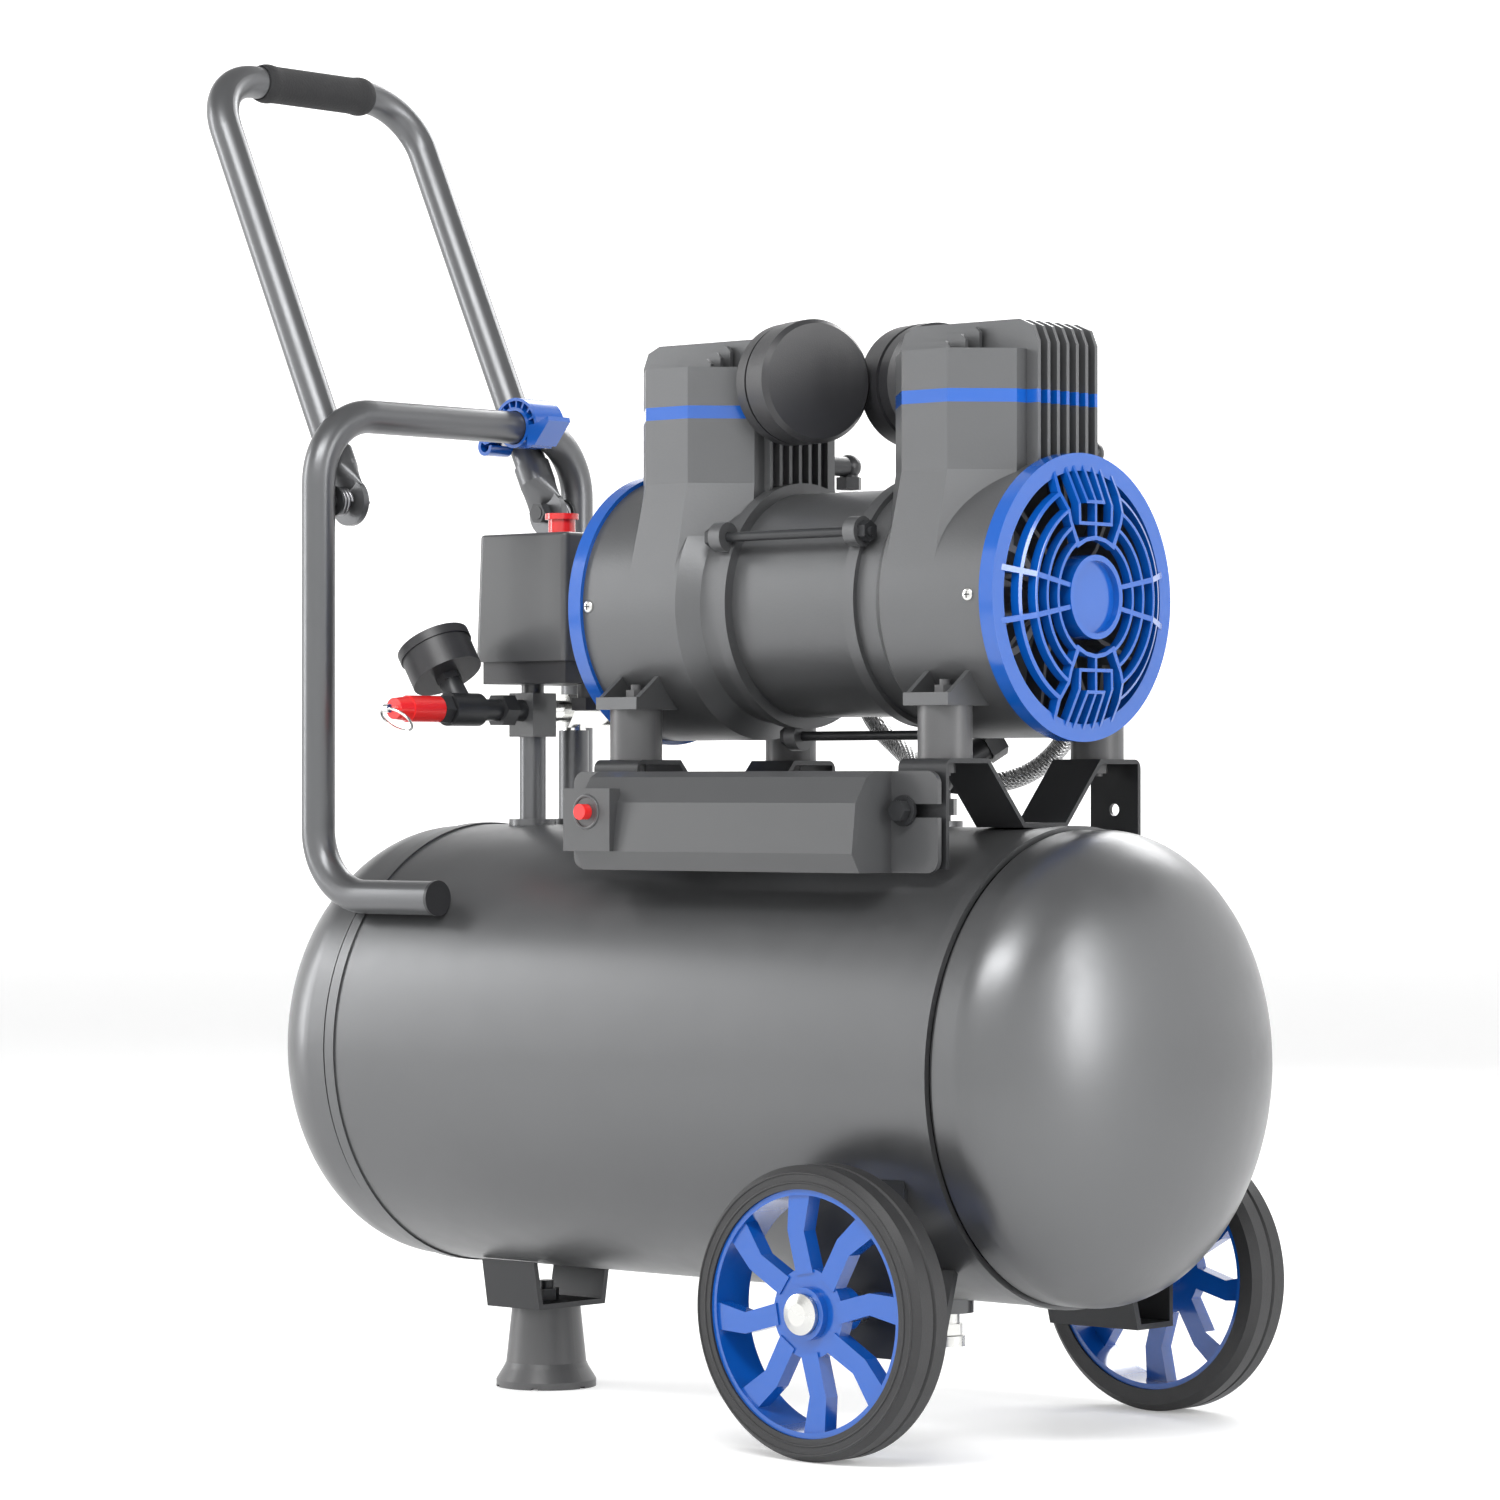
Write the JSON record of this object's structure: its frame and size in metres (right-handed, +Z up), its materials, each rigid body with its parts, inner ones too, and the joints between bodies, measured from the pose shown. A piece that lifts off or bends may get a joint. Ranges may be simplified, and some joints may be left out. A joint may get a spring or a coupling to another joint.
{
  "type": "air compressor",
  "caption": "Wheeled oil-free air compressor: twin-cylinder pump over a horizontal tank, with folding handle, pressure switch, gauge and control box.",
  "frame": {"origin": "middle of the foot's sole, on the floor", "axes": "+Z up, +X along the tank from the foot to the wheels, -Y towards the control box"},
  "size_m": [0.6694, 0.3238, 0.7696],
  "materials": {
    "tank_paint": "satin graphite powder coat",
    "frame_paint": "satin graphite powder coat",
    "pump_paint": "satin graphite paint over cast aluminium",
    "black_steel": "semi-matt black",
    "blue_plastic": "glossy moulded blue",
    "black_plastic": "fine textured moulding",
    "grey_plastic": "fine textured moulding",
    "red_plastic": "glossy moulded red",
    "tyre_rubber": "matt moulded rubber",
    "mount_rubber": "smooth rubber",
    "foam": "closed-cell foam",
    "plated_steel": "zinc plated",
    "bright_nickel": "nickel plated",
    "spring_steel": "dark spring wire",
    "braided_steel": "stainless braid",
    "machined_alloy": "machined",
    "core_steel": "laminated steel",
    "dial_white": "printed",
    "clear_lens": "clear"
  },
  "bodies": {
    "chassis": {"tank_shell": "tank_paint", "tank_head_left": "tank_paint", "tank_head_right": "tank_paint", "saddles": "black_steel", "lower_frame_tube": "frame_paint", "frame_end_plugs": "black_plastic", "wheel_brackets": "black_steel", "axle_bolts": "plated_steel", "foot_pad": "mount_rubber", "foot_bracket": "black_steel", "pivot_bolts": "black_steel", "pivot_springs": "spring_steel", "standpipes": "frame_paint", "manifold_block": "grey_plastic", "tee_fitting": "black_steel", "gauge_case": "black_plastic", "gauge_dial": "dial_white", "gauge_lens": "clear_lens", "relief_valve": "red_plastic", "switch_base": "black_plastic", "switch_cover": "grey_plastic", "cable_gland": "black_plastic", "outlet_coupler": "bright_nickel", "discharge_fittings": "black_steel", "discharge_hoses": "braided_steel", "drain_valve": "plated_steel", "control_box": "grey_plastic", "frame_bolts": "black_steel", "capacitor": "machined_alloy", "crankcase_left": "pump_paint", "crankcase_right": "pump_paint", "cylinder_left": "pump_paint", "cylinder_right": "pump_paint", "head_left": "pump_paint", "head_right": "pump_paint", "fan_cover_left": "blue_plastic", "fan_cover_right": "blue_plastic", "gasket_bands": "blue_plastic", "intake_filters": "black_plastic", "motor_housing": "pump_paint", "stator": "core_steel", "tie_rods": "black_steel", "isolators": "mount_rubber", "shaft_bearings": "plated_steel"},
    "wheel_front": {"tyre_front": "tyre_rubber", "rim_front": "blue_plastic"},
    "wheel_rear": {"tyre_rear": "tyre_rubber", "rim_rear": "blue_plastic"},
    "handle": {"handle_tube": "frame_paint", "handle_grip": "foam"},
    "latch": {"latch_clip": "blue_plastic"},
    "switch_pull": {"switch_knob": "red_plastic"},
    "reset": {"reset_button": "red_plastic"},
    "relief": {"relief_ring": "bright_nickel"},
    "needle": {"gauge_needle": "red_plastic"},
    "drive": {"rotor": "core_steel", "cooling_fans": "black_plastic"},
    "piston_a": {"piston_left": "machined_alloy"},
    "piston_b": {"piston_right": "machined_alloy"},
    "drain": {"drain_knob": "plated_steel"}
  },
  "joints": [
    {"name": "wheel_front_spin", "type": "hinge", "parent": "chassis", "child": "wheel_front", "pos_m": [0.331, -0.143, 0.075], "axis": [0, 1, 0], "continuous": true},
    {"name": "wheel_rear_spin", "type": "hinge", "parent": "chassis", "child": "wheel_rear", "pos_m": [0.331, 0.143, 0.075], "axis": [0, 1, 0], "continuous": true},
    {"name": "handle_fold", "type": "hinge", "parent": "chassis", "child": "handle", "pos_m": [-0.077, 0, 0.5035], "axis": [0, 1, 0], "range_deg": [-134, 0]},
    {"name": "latch_turn", "type": "hinge", "parent": "chassis", "child": "latch", "pos_m": [-0.077, 0.054, 0.553], "axis": [0, 1, 0], "range_deg": [0, 60]},
    {"name": "switch_knob_slide", "type": "slide", "parent": "chassis", "child": "switch_pull", "axis": [0, 0, 1], "range_m": [-0.005, 0]},
    {"name": "reset_press", "type": "slide", "parent": "chassis", "child": "reset", "axis": [0, 1, 0], "range_m": [0, 0.003], "stiffness_N_per_m": 600},
    {"name": "relief_pull", "type": "slide", "parent": "chassis", "child": "relief", "axis": [0, -1, 0], "range_m": [0, 0.003], "stiffness_N_per_m": 800},
    {"name": "gauge_sweep", "type": "hinge", "parent": "chassis", "child": "needle", "pos_m": [-0.02658, -0.057, 0.40993], "axis": [-0.5299, 0, 0.848], "range_deg": [0, 270]},
    {"name": "rotor_spin", "type": "hinge", "parent": "chassis", "child": "drive", "pos_m": [0.2385, 0, 0.44], "axis": [1, 0, 0], "continuous": true},
    {"name": "piston_left_stroke", "type": "slide", "parent": "chassis", "child": "piston_a", "axis": [0, 0, 1], "range_m": [-0.006, 0.006]},
    {"name": "piston_right_stroke", "type": "slide", "parent": "chassis", "child": "piston_b", "axis": [0, 0, 1], "range_m": [-0.006, 0.006]},
    {"name": "drain_turn", "type": "hinge", "parent": "chassis", "child": "drain", "pos_m": [0.297, 0, 0.05], "axis": [0, 0, 1], "range_deg": [0, 270]}
  ]
}
